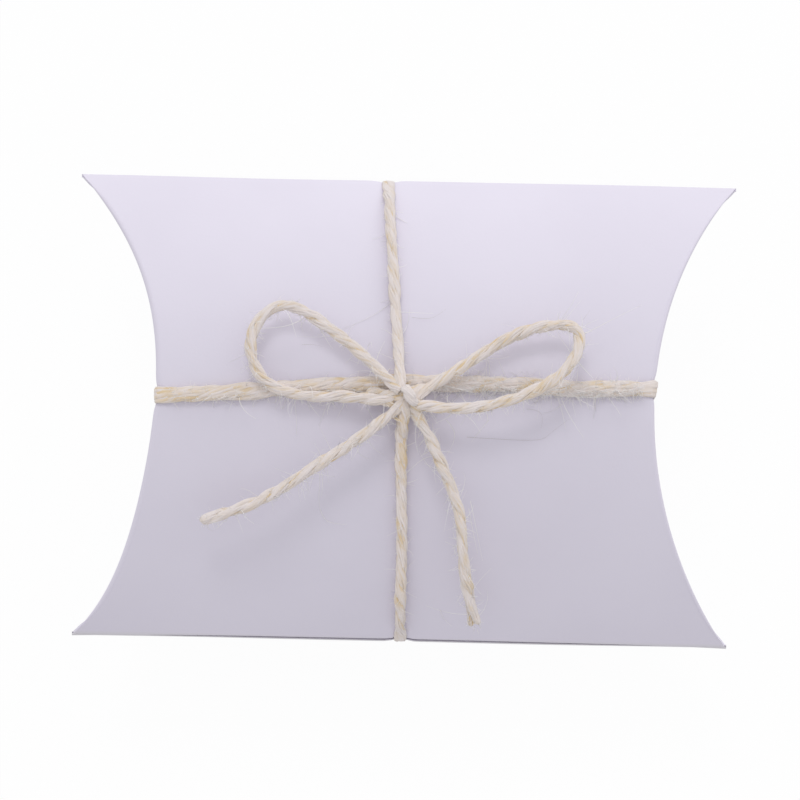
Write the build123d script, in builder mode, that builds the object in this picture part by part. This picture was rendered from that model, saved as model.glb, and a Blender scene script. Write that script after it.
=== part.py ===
from build123d import *

import math
import os

# Favor box: a pillow box folded from white card, tied crosswise with jute twine and a bow.
# Millimetres. The box lies on its back: +X runs along its length, +Z out of its front panel.
# z = 0 is the surface that it lies on, under the middle of the box.
# Both panels bulge to one radius and run straight along X. An end flap is the panel carried on past
# its curved crease, so its plan is the same arc: it curves inwards, and its walls stand upright.

# The folded card
box_length = 90.0
box_width = 63.5
box_thickness = 24.0
card = 0.45

# The end flaps and the glued seam
crease_gap = 0.1
nest_gap = 0.12
outer_flap_trim = 0.8
outer_flap_tip_relief = 1.0
thumb_notch_radius = 6.0
inner_flap_width = 50.0
inner_flap_clearance = 0.3
glue_tab_width = 7.0
glue_tab_length = 78.0
glue_tab_taper = 5.0
glue_film = 0.05
seam_gap = 0.5

# The twine, drawn thinner where it is pulled tight
long_wrap_diameter = 2.2
girth_wrap_diameter = 1.5
bow_diameter = 1.7
twine_clearance = 0.25
crossing_gap = 0.1
girth_flat = 0.15
long_wrap_edge_turn = 0.8
girth_edge_turn = 0.5
crossing_turn = 3.0

# The knot, over the crossing of the two wraps
knot_x = 0.1
knot_y = 1.9
knot_width = 5.4
knot_length = 7.2
knot_height = 4.9
knot_rounding = 1.6
knot_grip = 0.8
knot_turn_heading = -50.0

# Share of the shorter run that an arc of the twine takes on each side of its point
arc_share = 0.45

half_width = box_width / 2
half_thickness = box_thickness / 2
bulge_radius = (half_width**2 + half_thickness**2) / box_thickness
bulge_centre = bulge_radius - half_thickness
fold_angle = math.degrees(math.asin(half_width / bulge_radius))
end_centre = box_length / 2 + bulge_centre
mid = (
    girth_wrap_diameter - girth_flat + crossing_gap + long_wrap_diameter + twine_clearance + half_thickness
)
crest = mid + half_thickness
flap_tip = half_width - outer_flap_tip_relief


def bulge(y, inset=0.0):
    """Height over the mid plane of a panel's outer face, or of the face that lies inset inside it."""
    return math.sqrt((bulge_radius - inset) ** 2 - y**2) - bulge_centre


def end_face(y, inset=0.0):
    """Distance from the middle of the box to a flap's outer face, or to a face that lies inset inside it."""
    return end_centre - math.sqrt((bulge_radius + inset) ** 2 - y**2)


def corner_radii(points, tight=None):
    """Radius at each inner point of a twine route, as large as its runs allow, or as tight as an edge sets it."""
    runs = [Vector(*end) - Vector(*start) for start, end in zip(points, points[1:])]
    turns = [math.radians(run.get_angle(following)) for run, following in zip(runs, runs[1:])]
    radii = [
        arc_share * min(run.length, following.length) / math.tan(turn / 2)
        for run, following, turn in zip(runs, runs[1:], turns)
    ]
    for point, radius in (tight or {}).items():
        radii[point - 1] = radius
    return radii


def report_twine(name, stretch, route, diameter, radii):
    """Prints a stretch's length and bends, and its volume beside its section times its length."""
    length = sum(edge.length for edge in route.edges())
    section = math.pi * diameter**2 / 4
    print(name, "length", round(length, 2), "radii", [round(radius, 2) for radius in radii])
    print(name, "volume", round(stretch.volume, 2), "of", round(section * length, 2))


# Front panel: its far edge folds into the back panel, its near edge is the raw edge of the glued seam
raw_edge = bulge_radius**2 - (bulge_centre + seam_gap) ** 2
raw_edge_inside = (bulge_radius - card) ** 2 - (bulge_centre + seam_gap) ** 2
fold_inside = math.sqrt((bulge_radius - card) ** 2 - bulge_centre**2)
with BuildPart() as front_panel:
    with BuildSketch(Plane.YZ):
        with BuildLine():
            outside = ThreePointArc(
                (-math.sqrt(raw_edge), mid + seam_gap), (0, crest), (half_width, mid)
            )
            inside = ThreePointArc(
                (-math.sqrt(raw_edge_inside), mid + seam_gap), (0, crest - card), (fold_inside, mid)
            )
            Line(outside @ 0, inside @ 0)
            Line(outside @ 1, inside @ 1)
        make_face()
    extrude(amount=box_length / 2, both=True)
    with BuildSketch(Plane.XY.offset(mid)):
        Rectangle(box_length, box_width)
        with Locations((end_centre, 0), (-end_centre, 0)):
            Circle(bulge_radius, mode=Mode.SUBTRACT)
    extrude(amount=half_thickness, both=True, mode=Mode.INTERSECT)
    with BuildSketch(Plane.XY.offset(mid)):
        with Locations((end_centre, 0), (-end_centre, 0)):
            Circle(bulge_radius + card + crease_gap)
        Rectangle(2 * box_length, 2 * (flap_tip + crease_gap), mode=Mode.INTERSECT)
    extrude(amount=half_thickness, both=True, mode=Mode.SUBTRACT)

# Back panel: it reaches under the feet of the inner flaps, just inside the outer flaps
with BuildPart() as back_panel:
    with BuildSketch(Plane.YZ):
        with BuildLine():
            outside = ThreePointArc((-half_width, mid), (0, mid - half_thickness), (half_width, mid))
            inside = ThreePointArc(
                (-fold_inside, mid), (0, mid - half_thickness + card), (fold_inside, mid)
            )
            Line(outside @ 0, inside @ 0)
            Line(outside @ 1, inside @ 1)
        make_face()
    extrude(amount=box_length / 2, both=True)
    with BuildSketch(Plane.XY.offset(mid)):
        Rectangle(box_length, box_width)
        with Locations((end_centre, 0), (-end_centre, 0)):
            Circle(bulge_radius, mode=Mode.SUBTRACT)
    extrude(amount=half_thickness, both=True, mode=Mode.INTERSECT)
    with BuildSketch(Plane.XY.offset(mid)):
        with Locations((end_centre, 0), (-end_centre, 0)):
            Circle(bulge_radius + card + nest_gap)
        Rectangle(2 * box_length, 2 * (flap_tip + crease_gap), mode=Mode.INTERSECT)
    extrude(amount=half_thickness, both=True, mode=Mode.SUBTRACT)

# Glue tab: folded in from the back panel's near edge and stuck to the inside of the front panel
tab_outside = bulge_radius - card - glue_film
tab_inside = tab_outside - card
tab_free_angle = math.radians(fold_angle) - glue_tab_width / tab_outside
tab_free_y = tab_inside * math.sin(tab_free_angle)
with BuildPart() as glue_tab:
    with BuildSketch(Plane.YZ):
        with Locations((0, mid - bulge_centre)):
            Circle(tab_outside)
            Circle(tab_inside, mode=Mode.SUBTRACT)
        with Locations((-tab_free_y, mid)):
            Rectangle(half_width, half_thickness, align=(Align.MAX, Align.MIN), mode=Mode.INTERSECT)
    extrude(amount=glue_tab_length / 2, both=True)
    with BuildSketch(Plane.XY.offset(mid)):
        with Locations((0, -half_width)):
            Trapezoid(
                glue_tab_length,
                half_width - tab_free_y,
                90 - math.degrees(math.atan(glue_tab_taper / (half_width - tab_free_y))),
                align=(Align.CENTER, Align.MIN),
            )
    extrude(amount=half_thickness, mode=Mode.INTERSECT)

# Outer flap: hangs from the front panel's crease over the whole end, with a thumb notch in its free edge
with BuildPart() as right_outer_flap:
    with BuildSketch(Plane.XY.offset(mid)):
        with Locations((end_centre, 0)):
            Circle(bulge_radius + card)
            Circle(bulge_radius, mode=Mode.SUBTRACT)
        with Locations((box_length / 2, 0)):
            Rectangle(2 * box_thickness, 2 * flap_tip, mode=Mode.INTERSECT)
    extrude(amount=half_thickness, both=True)
    with BuildSketch(Plane.YZ):
        with BuildLine():
            crease = ThreePointArc(
                (-flap_tip, mid + bulge(flap_tip)), (0, crest), (flap_tip, mid + bulge(flap_tip))
            )
            free_edge = ThreePointArc(
                (-flap_tip, mid - bulge(flap_tip) + outer_flap_trim),
                (0, mid - half_thickness + outer_flap_trim),
                (flap_tip, mid - bulge(flap_tip) + outer_flap_trim),
            )
            Line(crease @ 0, free_edge @ 0)
            Line(crease @ 1, free_edge @ 1)
        make_face()
        with Locations((0, mid - half_thickness + outer_flap_trim)):
            Circle(thumb_notch_radius, mode=Mode.SUBTRACT)
    extrude(amount=box_length, mode=Mode.INTERSECT)

# Inner flap: stands on the back panel's crease behind the outer flap. Its edge is drawn in at the sides,
# so that it swings inwards under the front panel
inner_flap_inset = card + nest_gap
inner_flap_half = inner_flap_width / 2
foot_inset = card + crease_gap
pivot_x = end_face(0, inner_flap_inset + card)
pivot_z = mid - half_thickness + foot_inset


def swing_limit(y):
    """Height of the inner flap's free edge: as it swings about its foot it stays under the front panel."""
    head_room = mid + bulge(y, card) - inner_flap_clearance - pivot_z
    reach = end_face(y, inner_flap_inset) - pivot_x
    return pivot_z + math.sqrt(head_room**2 - reach**2)


with BuildPart() as right_inner_flap:
    with BuildSketch(Plane.XY.offset(mid)):
        with Locations((end_centre, 0)):
            Circle(bulge_radius + inner_flap_inset + card)
            Circle(bulge_radius + inner_flap_inset, mode=Mode.SUBTRACT)
        with Locations((box_length / 2, 0)):
            Rectangle(2 * box_thickness, inner_flap_width, mode=Mode.INTERSECT)
    extrude(amount=half_thickness, both=True)
    with BuildSketch(Plane.YZ):
        with BuildLine():
            foot = ThreePointArc(
                (-inner_flap_half, mid - bulge(inner_flap_half, foot_inset)),
                (0, pivot_z),
                (inner_flap_half, mid - bulge(inner_flap_half, foot_inset)),
            )
            free_edge = ThreePointArc(
                (-inner_flap_half, swing_limit(inner_flap_half)),
                (0, swing_limit(0)),
                (inner_flap_half, swing_limit(inner_flap_half)),
            )
            Line(foot @ 0, free_edge @ 0)
            Line(foot @ 1, free_edge @ 1)
        make_face()
    extrude(amount=box_length, mode=Mode.INTERSECT)

# The left end mirrors the right one
with BuildPart() as left_outer_flap:
    mirror(right_outer_flap.part, about=Plane.YZ)

with BuildPart() as left_inner_flap:
    mirror(right_inner_flap.part, about=Plane.YZ)

# Bow knot: a rounded lump over the crossing, with the turn of twine that grips the bow laid over it
knot_floor = crest + twine_clearance
knot_top = knot_floor + knot_height
turn_plane = Plane(
    origin=(knot_x, knot_y, knot_floor),
    x_dir=Vector(1, 0, 0).rotate(Axis.Z, knot_turn_heading),
    z_dir=(0, 0, 1),
)
turn_side = knot_width / 2 + bow_diameter / 4
turn_height = knot_height - bow_diameter / 6
with BuildPart() as bow_knot:
    with BuildSketch(Plane.XY.offset(knot_floor)):
        with Locations((knot_x, knot_y)):
            SlotOverall(knot_length, knot_width, rotation=90)
    extrude(amount=knot_height)
    fillet(bow_knot.edges(), radius=knot_rounding)
    turn_points = [
        (-turn_side, 0, bow_diameter),
        (-turn_side + bow_diameter / 4, 0, turn_height),
        (turn_side - bow_diameter / 4, 0, turn_height),
        (turn_side, 0, bow_diameter),
    ]
    with BuildLine(turn_plane) as turn_route:
        FilletPolyline(*turn_points, radius=bow_diameter)
    with BuildSketch(Plane(origin=turn_route.line @ 0, z_dir=turn_route.line % 0)):
        Circle(bow_diameter / 2)
    sweep()

# Long wrap: from the knot round the left end, along the back and round the right end to the knot again.
# Each point is x, y; the runs over the front and the back keep the twine's clearance from the card
long_wrap_radius = long_wrap_diameter / 2
long_wrap_stand = twine_clearance + long_wrap_radius
left_end_y = 1.5
right_end_y = 3.8
back_z = mid - half_thickness - long_wrap_stand


def on_front(x, y):
    """Centre of the long wrap where it lies on the front panel."""
    return (x, y, mid + bulge(y) + long_wrap_stand)


long_wrap_points = [
    on_front(knot_x - knot_width / 2 + knot_grip, 3.85),
    on_front(-4.4, 3.95),
    on_front(-13.9, 3.5),
    on_front(-22.2, 2.2),
    on_front(-end_face(left_end_y) - long_wrap_stand, left_end_y),
    (-end_face(0) - long_wrap_stand, 0, back_z),
    (end_face(0) + long_wrap_stand, 0, back_z),
    on_front(end_face(right_end_y) + long_wrap_stand, right_end_y),
    on_front(21.5, 3.5),
    on_front(10.5, 4.0),
    on_front(knot_x + knot_width / 2 - knot_grip, 3.85),
]
long_wrap_edge_radius = long_wrap_radius + long_wrap_edge_turn
long_wrap_radii = corner_radii(long_wrap_points, {edge: long_wrap_edge_radius for edge in (4, 5, 6, 7)})
with BuildPart() as long_wrap:
    with BuildLine() as long_wrap_route:
        FilletPolyline(*long_wrap_points, radius=long_wrap_radii)
    with BuildSketch(Plane(origin=long_wrap_route.line @ 0, z_dir=long_wrap_route.line % 0)):
        Circle(long_wrap_radius)
    sweep()
    report_twine("long_wrap", long_wrap.part, long_wrap_route.line, long_wrap_diameter, long_wrap_radii)
    add(bow_knot.part, mode=Mode.SUBTRACT)

# Girth wrap: from the knot over the far fold, across the back under the long wrap, over the near fold and
# back to the knot. The runs touch the round of the panels, and the crossing lies pressed flat at z = 0
girth_wrap_radius = girth_wrap_diameter / 2
girth_stand = twine_clearance + girth_wrap_radius
girth_round = bulge_radius + girth_stand
crossing_round = bulge_radius + twine_clearance + long_wrap_diameter + crossing_gap + girth_wrap_radius
slope = math.radians(fold_angle / 2)
crossing_half = (girth_round - crossing_round * math.cos(slope)) / math.sin(slope)
fold_y = half_width + girth_stand / math.sin(math.radians(fold_angle))
crossing_z = mid + bulge_centre - crossing_round


def on_girth(x, share, step, face=1):
    """Corner of the girth wrap at a share of the fold angle, on the front (1) or the back (-1) panel.

    Its two runs touch the twine's round half a step, as a share of the fold angle, to each side.
    """
    angle = math.radians(share * fold_angle)
    radius = girth_round / math.cos(math.radians(step * fold_angle / 2))
    return (x, radius * math.sin(angle), mid + face * (radius * math.cos(angle) - bulge_centre))


girth_wrap_points = [
    (-0.5, knot_y + 0.6, crest + girth_stand),
    on_girth(-0.9, 1 / 6, 1 / 3),
    on_girth(-1.75, 3 / 6, 1 / 3),
    on_girth(-2.55, 5 / 6, 1 / 3),
    (-2.9, fold_y, mid),
    on_girth(-2.3, 3 / 4, 1 / 2, face=-1),
    (-1.45, crossing_half, crossing_z),
    (-1.25, -crossing_half, crossing_z),
    on_girth(-0.4, -3 / 4, 1 / 2, face=-1),
    (0.15, -fold_y, mid),
    on_girth(0.1, -5 / 6, 1 / 3),
    on_girth(0.1, -3 / 6, 1 / 3),
    on_girth(-0.35, -1 / 6, 1 / 3),
    (-0.45, knot_y - 0.6, crest + girth_stand),
]
girth_fold_radius = girth_wrap_radius + girth_edge_turn
girth_wrap_radii = corner_radii(
    girth_wrap_points,
    {4: girth_fold_radius, 6: crossing_turn, 7: crossing_turn, 9: girth_fold_radius},
)
with BuildPart() as girth_wrap:
    with BuildLine() as girth_wrap_route:
        FilletPolyline(*girth_wrap_points, radius=girth_wrap_radii)
    with BuildSketch(Plane(origin=girth_wrap_route.line @ 0, z_dir=girth_wrap_route.line % 0)):
        Circle(girth_wrap_radius)
    sweep()
    report_twine("girth_wrap", girth_wrap.part, girth_wrap_route.line, girth_wrap_diameter, girth_wrap_radii)
    split(bisect_by=Plane.XY, keep=Keep.TOP)
    add(bow_knot.part, mode=Mode.SUBTRACT)

# Bow: two loops and two tails that leave the knot. Each point is x, y and the height of the twine's centre
# over the front panel there
bow_routes = {
    "left_loop": [
        (-0.5, 2.6, 3.6),
        (-5.8, 7.7, 3.9),
        (-9.5, 10.4, 3.6),
        (-13.7, 13.4, 3.4),
        (-16.7, 14.4, 3.2),
        (-19.4, 12.3, 2.9),
        (-20.6, 9.1, 2.8),
        (-20.2, 6.0, 3.3),
        (-18.5, 3.5, 4.0),
        (-15.6, 2.2, 4.0),
        (-11.1, 1.6, 3.4),
        (-7.6, 2.1, 3.1),
        (-1.2, 1.3, 3.3),
    ],
    "right_loop": [
        (0.9, 1.8, 3.6),
        (5.8, 5.1, 4.5),
        (9.9, 8.1, 4.1),
        (14.5, 11.0, 3.2),
        (18.8, 12.2, 2.7),
        (22.4, 12.2, 2.5),
        (23.3, 10.1, 2.4),
        (22.0, 7.6, 2.9),
        (19.9, 5.2, 4.0),
        (16.1, 3.2, 4.7),
        (11.5, 1.4, 5.0),
        (6.5, 0.5, 4.7),
        (1.0, 1.1, 3.6),
    ],
    "left_tail": [
        (-0.3, 0.8, 3.9),
        (-3.9, -2.5, 3.6),
        (-7.4, -5.4, 2.7),
        (-11.7, -8.0, 1.8),
        (-16.3, -11.1, 1.35),
        (-20.9, -13.3, 1.25),
        (-26.4, -14.9, 1.25),
    ],
    "right_tail": [
        (0.9, 0.8, 3.3),
        (3.2, -2.7, 2.9),
        (4.9, -6.6, 2.1),
        (6.6, -10.3, 1.5),
        (7.8, -13.8, 1.3),
        (8.2, -17.8, 1.25),
        (8.9, -23.3, 1.25),
        (9.9, -29.3, 1.3),
    ],
}
bow_stretches = {}
for stretch_name, route_points in bow_routes.items():
    stretch_points = [(x, y, mid + bulge(y) + rise) for x, y, rise in route_points]
    stretch_radii = corner_radii(stretch_points)
    with BuildPart() as stretch:
        with BuildLine() as stretch_route:
            FilletPolyline(*stretch_points, radius=stretch_radii)
        with BuildSketch(Plane(origin=stretch_route.line @ 0, z_dir=stretch_route.line % 0)):
            Circle(bow_diameter / 2)
        sweep()
        report_twine(stretch_name, stretch.part, stretch_route.line, bow_diameter, stretch_radii)
        add(bow_knot.part, mode=Mode.SUBTRACT)
    bow_stretches[stretch_name] = stretch.part

pieces = {
    "front_panel": front_panel.part,
    "back_panel": back_panel.part,
    "glue_tab": glue_tab.part,
    "right_outer_flap": right_outer_flap.part,
    "right_inner_flap": right_inner_flap.part,
    "left_outer_flap": left_outer_flap.part,
    "left_inner_flap": left_inner_flap.part,
    "long_wrap": long_wrap.part,
    "girth_wrap": girth_wrap.part,
    "bow_knot": bow_knot.part,
    **bow_stretches,
}
os.makedirs("parts", exist_ok=True)
for piece_name, piece in pieces.items():
    piece.label = piece_name
    export_step(piece, f"parts/{piece_name}.step")
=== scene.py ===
import math

import bpy
import numpy as np
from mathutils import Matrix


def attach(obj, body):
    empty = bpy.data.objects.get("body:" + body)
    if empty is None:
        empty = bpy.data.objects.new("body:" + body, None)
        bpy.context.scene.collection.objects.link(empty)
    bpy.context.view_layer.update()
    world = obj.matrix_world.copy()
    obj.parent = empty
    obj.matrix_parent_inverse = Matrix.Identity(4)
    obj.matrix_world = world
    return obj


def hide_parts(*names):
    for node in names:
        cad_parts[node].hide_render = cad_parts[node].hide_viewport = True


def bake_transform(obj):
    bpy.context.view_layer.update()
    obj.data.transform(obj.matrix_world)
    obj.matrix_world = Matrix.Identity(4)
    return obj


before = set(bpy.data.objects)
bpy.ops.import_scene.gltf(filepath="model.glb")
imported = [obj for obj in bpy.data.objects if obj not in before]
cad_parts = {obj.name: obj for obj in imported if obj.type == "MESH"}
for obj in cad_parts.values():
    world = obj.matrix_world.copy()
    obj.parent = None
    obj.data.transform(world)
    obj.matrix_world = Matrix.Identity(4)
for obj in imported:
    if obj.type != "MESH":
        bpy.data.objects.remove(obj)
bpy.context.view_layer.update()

# Stage: the box lies on a white table, seen from straight above. A long soft lamp stands low beyond its
# far fold and lights the far half of the front panel most. A second light, from higher up on that side,
# casts the bow's shadows towards the near fold.
mm = 0.001
scene = bpy.context.scene
scene.view_settings.view_transform = "Standard"

camera = bpy.data.objects.new("camera", bpy.data.cameras.new("camera"))
camera.data.sensor_width = 36.0
camera.data.lens = 114.5
camera.location = (-0.585 * mm, 1.54 * mm, 365.9 * mm)
camera.rotation_euler = (0.0, 0.0, math.radians(1.25))
scene.collection.objects.link(camera)
scene.camera = camera


def set_inputs(node, values):
    """Sets a node's inputs, by their names."""
    for name, value in values.items():
        node.inputs[name].default_value = value


def worked_out(tree, operation, first, second):
    """Output of a math node on two inputs, of which the second may be a plain number."""
    node = tree.nodes.new("ShaderNodeMath")
    node.operation = operation
    tree.links.new(first, node.inputs[0])
    if isinstance(second, float):
        node.inputs[1].default_value = second
    else:
        tree.links.new(second, node.inputs[1])
    return node.outputs[0]


def seen_rays(tree):
    """Socket that is 1 for rays that show the surroundings, to the camera, off gloss or through glass."""
    path = tree.nodes.new("ShaderNodeLightPath")
    direct = worked_out(tree, "MAXIMUM", path.outputs["Is Camera Ray"], path.outputs["Is Glossy Ray"])
    return worked_out(tree, "MAXIMUM", direct, path.outputs["Is Transmission Ray"])


def mix_shaders(tree, share, first, second, output):
    """Joins two shaders into the tree's output node, by a share of 0 for the first to 1 for the second."""
    mix = tree.nodes.new("ShaderNodeMixShader")
    tree.links.new(share, mix.inputs["Fac"])
    tree.links.new(first.outputs[0], mix.inputs[1])
    tree.links.new(second.outputs[0], mix.inputs[2])
    tree.links.new(mix.outputs[0], tree.nodes[output].inputs["Surface"])


world = bpy.data.worlds.new("soft studio")
world.use_nodes = True
world_tree = world.node_tree
room_light = world_tree.nodes["Background"]
set_inputs(room_light, {"Color": (0.98, 0.98, 1.0, 1.0), "Strength": 0.688})
white_sky = world_tree.nodes.new("ShaderNodeBackground")
set_inputs(white_sky, {"Color": (1.0, 1.0, 1.0, 1.0), "Strength": 1.0})
mix_shaders(world_tree, seen_rays(world_tree), room_light, white_sky, "World Output")
scene.world = world

far_lamp = bpy.data.objects.new("far_soft_lamp", bpy.data.lights.new("far_soft_lamp", "AREA"))
far_lamp.data.shape = "RECTANGLE"
far_lamp.data.size = 0.9
far_lamp.data.size_y = 0.2
far_lamp.data.energy = 1.18
far_lamp.location = (0.15, 0.62, 0.12)
far_lamp.rotation_euler = (math.radians(-82.0), 0.0, math.radians(-13.6))
scene.collection.objects.link(far_lamp)

shadow_lamp = bpy.data.objects.new("shadow_lamp", bpy.data.lights.new("shadow_lamp", "SUN"))
shadow_lamp.data.energy = 0.50
shadow_lamp.data.angle = math.radians(17.0)
shadow_lamp.rotation_euler = (math.radians(-48.0), 0.0, math.radians(8.0))
scene.collection.objects.link(shadow_lamp)

table_half = 2.0
table_corners = [(x * table_half, y * table_half, 0.0) for x, y in ((-1, -1), (1, -1), (1, 1), (-1, 1))]
table_mesh = bpy.data.meshes.new("table")
table_mesh.from_pydata(table_corners, [], [(0, 1, 2, 3)])
table = bpy.data.objects.new("table", table_mesh)
scene.collection.objects.link(table)
table_white = bpy.data.materials.new("table white")
table_white.use_nodes = True
table_tree = table_white.node_tree
table_tree.nodes.remove(table_tree.nodes["Principled BSDF"])
table_paint = table_tree.nodes.new("ShaderNodeBsdfDiffuse")
table_paint.inputs["Color"].default_value = (0.85, 0.85, 0.86, 1.0)
table_glow = table_tree.nodes.new("ShaderNodeEmission")
table_glow.inputs["Strength"].default_value = 1.012
glow_share = worked_out(table_tree, "MULTIPLY", seen_rays(table_tree), 0.94)
mix_shaders(table_tree, glow_share, table_paint, table_glow, "Material Output")
table.data.materials.append(table_white)

# Front panel: the upper face of the sheet of white card, bulged between its two long edges. Its far edge
# rolls over into the back panel, and its near edge is the cut edge of the glued seam. The taut twine dents
# it where it turns over the end creases and the long folds.
box_length = 90.0
box_width = 63.5
box_thickness = 24.0
card = 0.45
mid_plane = 15.9
half_width = box_width / 2
half_thickness = box_thickness / 2
bulge_radius = (half_width**2 + half_thickness**2) / box_thickness
arc_drop = bulge_radius - half_thickness
fold_roll = 0.25
corner_gap = 1.0
flap_half_width = half_width - corner_gap
left_stray = 0.68
right_stray = 0.30
left_roll = 0.75
right_roll = 0.5
roll_fade = 5.0
twine_dent = 0.45
left_turn_y = 1.5
right_turn_y = 3.8
far_turn_x = -2.9
near_turn_x = 0.15
end_dent_width = 1.4
fold_dent_width = 1.1
crest = mid_plane + half_thickness


def panel_rise(y):
    """Height of a panel's outer face over the mid plane: an arc of the bulge's radius across the box."""
    return np.sqrt(np.maximum(bulge_radius**2 - np.square(y), 0.0)) - arc_drop


def end_reach(y):
    """Distance from the middle of the box to its end crease: half the length less the panel's rise."""
    return box_length / 2 - np.clip(panel_rise(y), 0.0, half_thickness)


def fold_drift(y, side):
    """How far a hand-folded end crease strays outwards from its true arc: one slow wave on the left end, a
    fuller near half on the right end, both gone at the corners, less a smooth dent at the twine."""
    fade = 1.0 - (np.clip(y, -half_width, half_width) / half_width) ** 6
    if side < 0:
        dent = np.exp(-np.square((y - left_turn_y) / end_dent_width))
        return -left_stray * np.sin(math.pi * (y - 4.0) / 27.0) * fade - twine_dent * dent
    dent = np.exp(-np.square((y - right_turn_y) / end_dent_width))
    return right_stray * (1.0 - np.sin(math.pi * y / 40.0)) * fade - twine_dent * dent


def fold_dent(x, y):
    """How far the twine draws each long fold in: a smooth notch where it turns over, gone within 3 mm."""
    along = np.square((x - np.where(y > 0, far_turn_x, near_turn_x)) / fold_dent_width)
    return -np.sign(y) * twine_dent * np.exp(-along) * np.clip(np.abs(y) / half_width, 0.0, 1.0) ** 16


def crease_round(y, side):
    """Radius of the roll at an end crease, softer on the left and fading out at the corners of the box."""
    inside = np.clip((flap_half_width - np.abs(y)) / roll_fade, 0.0, 1.0)
    return (left_roll if side < 0 else right_roll) * inside * (2.0 - inside)


def swept(angle, radius, centre):
    """Points (y, z) and unit normals on an arc round a centre, by the angle from straight up to +Y."""
    normal = np.stack([np.sin(angle), np.cos(angle)], axis=-1)
    return centre + radius * normal, normal


def card_unevenness(x, y):
    """Slight waves of a folded sheet, in millimetres: three long sine waves that run across each other."""
    long_wave = 0.035 * np.sin(x / 11.0 + 0.6 * np.sin(y / 9.0))
    cross_wave = 0.030 * np.sin(y / 6.5 + x / 23.0 + 1.3)
    return long_wave + cross_wave + 0.02 * np.sin(x / 5.3 - y / 7.7)


def smooth_piece(name, points, faces, material):
    """New object with a smooth mesh in one material, from points in metres and faces by their points."""
    mesh = bpy.data.meshes.new(name)
    mesh.from_pydata(points.tolist(), [], faces)
    mesh.polygons.foreach_set("use_smooth", np.ones(len(mesh.polygons), bool))
    mesh.materials.append(material)
    piece = bpy.data.objects.new(name, mesh)
    scene.collection.objects.link(piece)
    return piece


def card_sheet(name, outside, inside):
    """Closed sheet of card from two grids of points, rows by columns: each face is a grid, and the two are
    joined round the four edges. Points are millimetres, the mesh is metres."""
    rows, columns = outside.shape[:2]
    drop = rows * columns
    index = np.arange(drop).reshape(rows, columns)
    below = index + drop
    upper = np.stack([index[:-1, :-1], index[:-1, 1:], index[1:, 1:], index[1:, :-1]], axis=-1)
    lower = np.stack([below[:-1, :-1], below[1:, :-1], below[1:, 1:], below[:-1, 1:]], axis=-1)
    border = np.concatenate([index[0, :-1], index[:-1, -1], index[-1, :0:-1], index[:0:-1, 0]])
    following = np.roll(border, -1)
    rim = np.stack([following, border, border + drop, following + drop], axis=-1)
    faces = np.concatenate([upper.reshape(-1, 4), lower.reshape(-1, 4), rim])
    points = np.concatenate([outside.reshape(-1, 3), inside.reshape(-1, 3)]) * mm
    sheet = smooth_piece(name, points, faces.tolist(), card_white)
    sheet.data.set_sharp_from_angle(angle=math.radians(50.0))
    return sheet


def panel_grids(profile, normal, share):
    """Outer and inner grids of a panel: (y, z) points, rows by columns, carried along X by each column's
    share of the way to the end crease, with the inner face one card inside."""
    across = np.clip(profile[..., 0] * half_width / np.abs(profile[..., 0]).max(), -half_width, half_width)
    left = end_reach(across) + fold_drift(across, -1) - crease_round(across, -1)
    right = end_reach(across) + fold_drift(across, 1) - crease_round(across, 1)
    x = np.where(share[None, :] < 0, left, right) * share[None, :]
    wave = card_unevenness(x, profile[..., 0])[..., None] * normal
    wave[..., 0] += fold_dent(x, profile[..., 0])
    outside = np.concatenate([x[..., None], profile + wave], axis=-1)
    inside = np.concatenate([x[..., None], profile + wave - card * normal], axis=-1)
    return outside, inside


def white_card():
    """Matte coated card: white with a cool cast, faintly mottled, with a very fine fibre grain. Along the
    near fold it is painted a darker grey, as painted shade of the groove at the seam."""
    material = bpy.data.materials.new("white card")
    material.use_nodes = True
    tree = material.node_tree
    surface = tree.nodes["Principled BSDF"]
    set_inputs(surface, {"Roughness": 0.62, "IOR": 1.4})
    place = tree.nodes.new("ShaderNodeTexCoord")
    mottle = tree.nodes.new("ShaderNodeTexNoise")
    set_inputs(mottle, {"Scale": 55.0, "Detail": 3.0})
    tone = tree.nodes.new("ShaderNodeValToRGB")
    tone.color_ramp.elements[0].position = 0.3
    tone.color_ramp.elements[0].color = (0.770, 0.732, 0.833, 1.0)
    tone.color_ramp.elements[1].position = 0.7
    tone.color_ramp.elements[1].color = (0.796, 0.758, 0.860, 1.0)
    grain = tree.nodes.new("ShaderNodeTexNoise")
    set_inputs(grain, {"Scale": 2600.0, "Detail": 4.0})
    tooth = tree.nodes.new("ShaderNodeBump")
    set_inputs(tooth, {"Strength": 0.12, "Distance": 0.00008})
    tree.links.new(place.outputs["Object"], mottle.inputs["Vector"])
    tree.links.new(place.outputs["Object"], grain.inputs["Vector"])
    across = tree.nodes.new("ShaderNodeSeparateXYZ")
    # Painted shade: over the last strip before the near fold, the card's colour is mixed to a darker grey.
    seam_shade_ramp = tree.nodes.new("ShaderNodeMapRange")
    set_inputs(seam_shade_ramp, {
        "From Min": (seam_shade_start - half_width) * mm,
        "From Max": (seam_shade_full - half_width) * mm,
    })
    seam_shade_mix = tree.nodes.new("ShaderNodeMixRGB")
    seam_shade_mix.inputs["Color2"].default_value = (0.745, 0.726, 0.755, 1.0)
    tree.links.new(place.outputs["Object"], across.inputs[0])
    tree.links.new(across.outputs["Y"], seam_shade_ramp.inputs["Value"])
    tree.links.new(seam_shade_ramp.outputs["Result"], seam_shade_mix.inputs["Fac"])
    tree.links.new(mottle.outputs["Fac"], tone.inputs["Fac"])
    tree.links.new(tone.outputs["Color"], seam_shade_mix.inputs["Color1"])
    tree.links.new(seam_shade_mix.outputs["Color"], surface.inputs["Base Color"])
    tree.links.new(grain.outputs["Fac"], tooth.inputs["Height"])
    tree.links.new(tooth.outputs["Normal"], surface.inputs["Normal"])
    return material


# Painted shade: the darker grey starts 0.75 mm inside the near fold and is full 0.15 mm inside it, where
# the seam's groove is shaded.
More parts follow.
